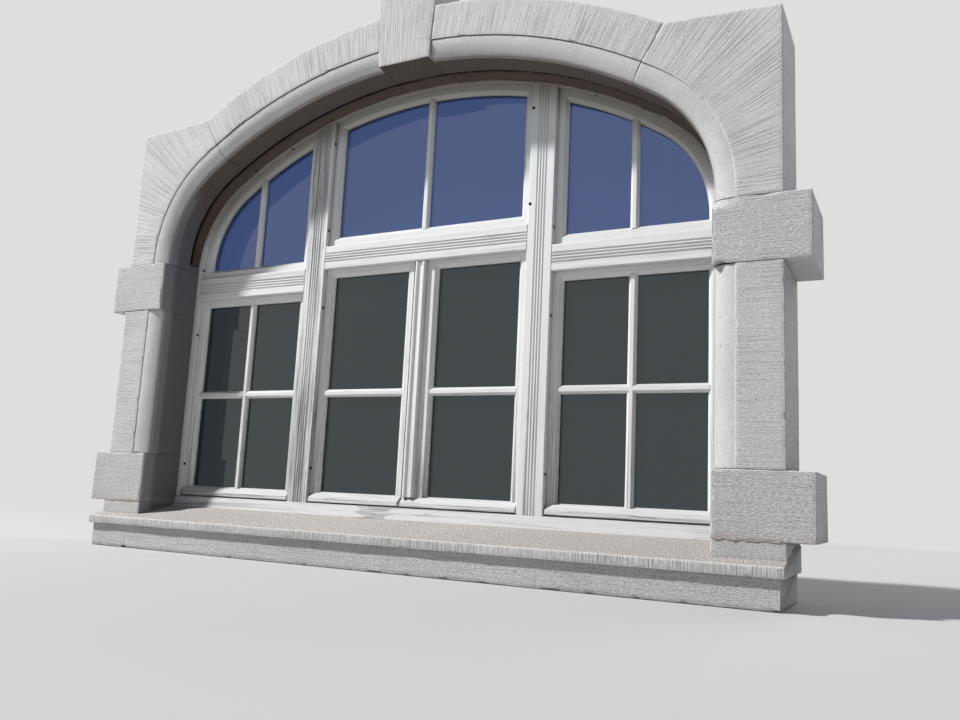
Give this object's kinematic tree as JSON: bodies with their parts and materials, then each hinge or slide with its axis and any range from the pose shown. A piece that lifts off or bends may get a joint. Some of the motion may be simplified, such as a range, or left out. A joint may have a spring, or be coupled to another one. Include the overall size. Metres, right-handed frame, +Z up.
{
  "type": "round-headed casement window with stone surround",
  "caption": "Round-headed timber casement window with arched upper lights and inward-opening leaves, in a moulded dressed-stone surround with sill and keystone.",
  "frame": {"origin": "centre of the bed of the stone sill, in the plane of its mount", "axes": "+X along the facade to the right as seen from outside, +Y into the room, +Z up"},
  "size_m": [2.856, 0.366, 2.172],
  "materials": {
    "sandstone": "comb-chiselled, weathered",
    "lime_mortar": "rough",
    "painted_timber": "weathered white oil paint",
    "glass": "old drawn glass",
    "iron": "painted iron",
    "brass": "dull brass"
  },
  "bodies": {
    "surround": {"stone_sill": "sandstone", "base_block_left": "sandstone", "base_block_right": "sandstone", "jamb_shaft_left": "sandstone", "jamb_shaft_right": "sandstone", "impost_block_left": "sandstone", "impost_block_right": "sandstone", "springer_left": "sandstone", "springer_right": "sandstone", "voussoir_left": "sandstone", "voussoir_right": "sandstone", "keystone": "sandstone", "soffit_mortar": "lime_mortar", "frame_bottom_rail": "painted_timber", "frame_head": "painted_timber", "frame_stile_left": "painted_timber", "frame_stile_right": "painted_timber", "mullion_left": "painted_timber", "mullion_right": "painted_timber", "transom_left": "painted_timber", "transom_centre": "painted_timber", "transom_right": "painted_timber", "upper_sash_left": "painted_timber", "upper_sash_centre": "painted_timber", "upper_sash_right": "painted_timber", "upper_glass_left": "glass", "upper_glass_centre": "glass", "upper_glass_right": "glass", "frame_hinges": "iron", "cremone_keepers": "iron"},
    "left_leaf": {"left_casement_frame": "painted_timber", "left_casement_bars": "painted_timber", "left_casement_glass": "glass", "left_weather_bar": "painted_timber", "left_leaf_hinges": "iron"},
    "centre_left_leaf": {"centre_left_casement_frame": "painted_timber", "centre_left_casement_bars": "painted_timber", "centre_left_casement_glass": "glass", "centre_left_weather_bar": "painted_timber", "centre_left_leaf_hinges": "iron"},
    "centre_right_leaf": {"centre_right_casement_frame": "painted_timber", "centre_right_casement_bars": "painted_timber", "centre_right_casement_glass": "glass", "centre_right_weather_bar": "painted_timber", "centre_right_leaf_hinges": "iron", "astragal": "painted_timber", "cremone_case": "iron", "cremone_guides": "iron"},
    "right_leaf": {"right_casement_frame": "painted_timber", "right_casement_bars": "painted_timber", "right_casement_glass": "glass", "right_weather_bar": "painted_timber", "right_leaf_hinges": "iron"},
    "cremone_knob": {"cremone_knob": "brass"},
    "cremone_rod_upper": {"cremone_rod_upper": "iron"},
    "cremone_rod_lower": {"cremone_rod_lower": "iron"},
    "turn_button_left": {"turn_button_left": "brass"},
    "turn_button_right": {"turn_button_right": "brass"},
    "turn_button_centre": {"turn_button_centre": "brass"}
  },
  "joints": [
    {"name": "left_leaf_hinge", "type": "hinge", "parent": "surround", "child": "left_leaf", "pos_m": [-1.138, 0.263, 0.64], "axis": [0, 0, 1], "range_deg": [0, 100]},
    {"name": "centre_left_leaf_hinge", "type": "hinge", "parent": "surround", "child": "centre_left_leaf", "pos_m": [-0.462, 0.263, 0.64], "axis": [0, 0, 1], "range_deg": [0, 100]},
    {"name": "centre_right_leaf_hinge", "type": "hinge", "parent": "surround", "child": "centre_right_leaf", "pos_m": [0.462, 0.263, 0.64], "axis": [0, 0, -1], "range_deg": [0, 100]},
    {"name": "right_leaf_hinge", "type": "hinge", "parent": "surround", "child": "right_leaf", "pos_m": [1.138, 0.263, 0.64], "axis": [0, 0, -1], "range_deg": [0, 100]},
    {"name": "cremone_turn", "type": "hinge", "parent": "centre_right_leaf", "child": "cremone_knob", "pos_m": [0.024, 0.276, 0.64], "axis": [0, 1, 0], "range_deg": [0, 90]},
    {"name": "upper_rod_slide", "type": "slide", "parent": "centre_right_leaf", "child": "cremone_rod_upper", "axis": [0, 0, 1], "range_m": [0, 0.026]},
    {"name": "lower_rod_slide", "type": "slide", "parent": "centre_right_leaf", "child": "cremone_rod_lower", "axis": [0, 0, -1], "range_m": [0, 0.026]},
    {"name": "turn_button_left_pivot", "type": "hinge", "parent": "surround", "child": "turn_button_left", "pos_m": [-0.515, 0.2565, 0.7], "axis": [0, -1, 0], "range_deg": [0, 90]},
    {"name": "turn_button_right_pivot", "type": "hinge", "parent": "surround", "child": "turn_button_right", "pos_m": [0.515, 0.2565, 0.7], "axis": [0, 1, 0], "range_deg": [0, 90]},
    {"name": "turn_button_centre_pivot", "type": "hinge", "parent": "centre_right_leaf", "child": "turn_button_centre", "pos_m": [-0.009, 0.2565, 0.52], "axis": [0, -1, 0], "range_deg": [0, 90]}
  ],
  "couplings": [
    {"joint": "upper_rod_slide", "follows": "cremone_turn", "m_per_rad": 0.01655},
    {"joint": "lower_rod_slide", "follows": "cremone_turn", "m_per_rad": 0.01655}
  ]
}
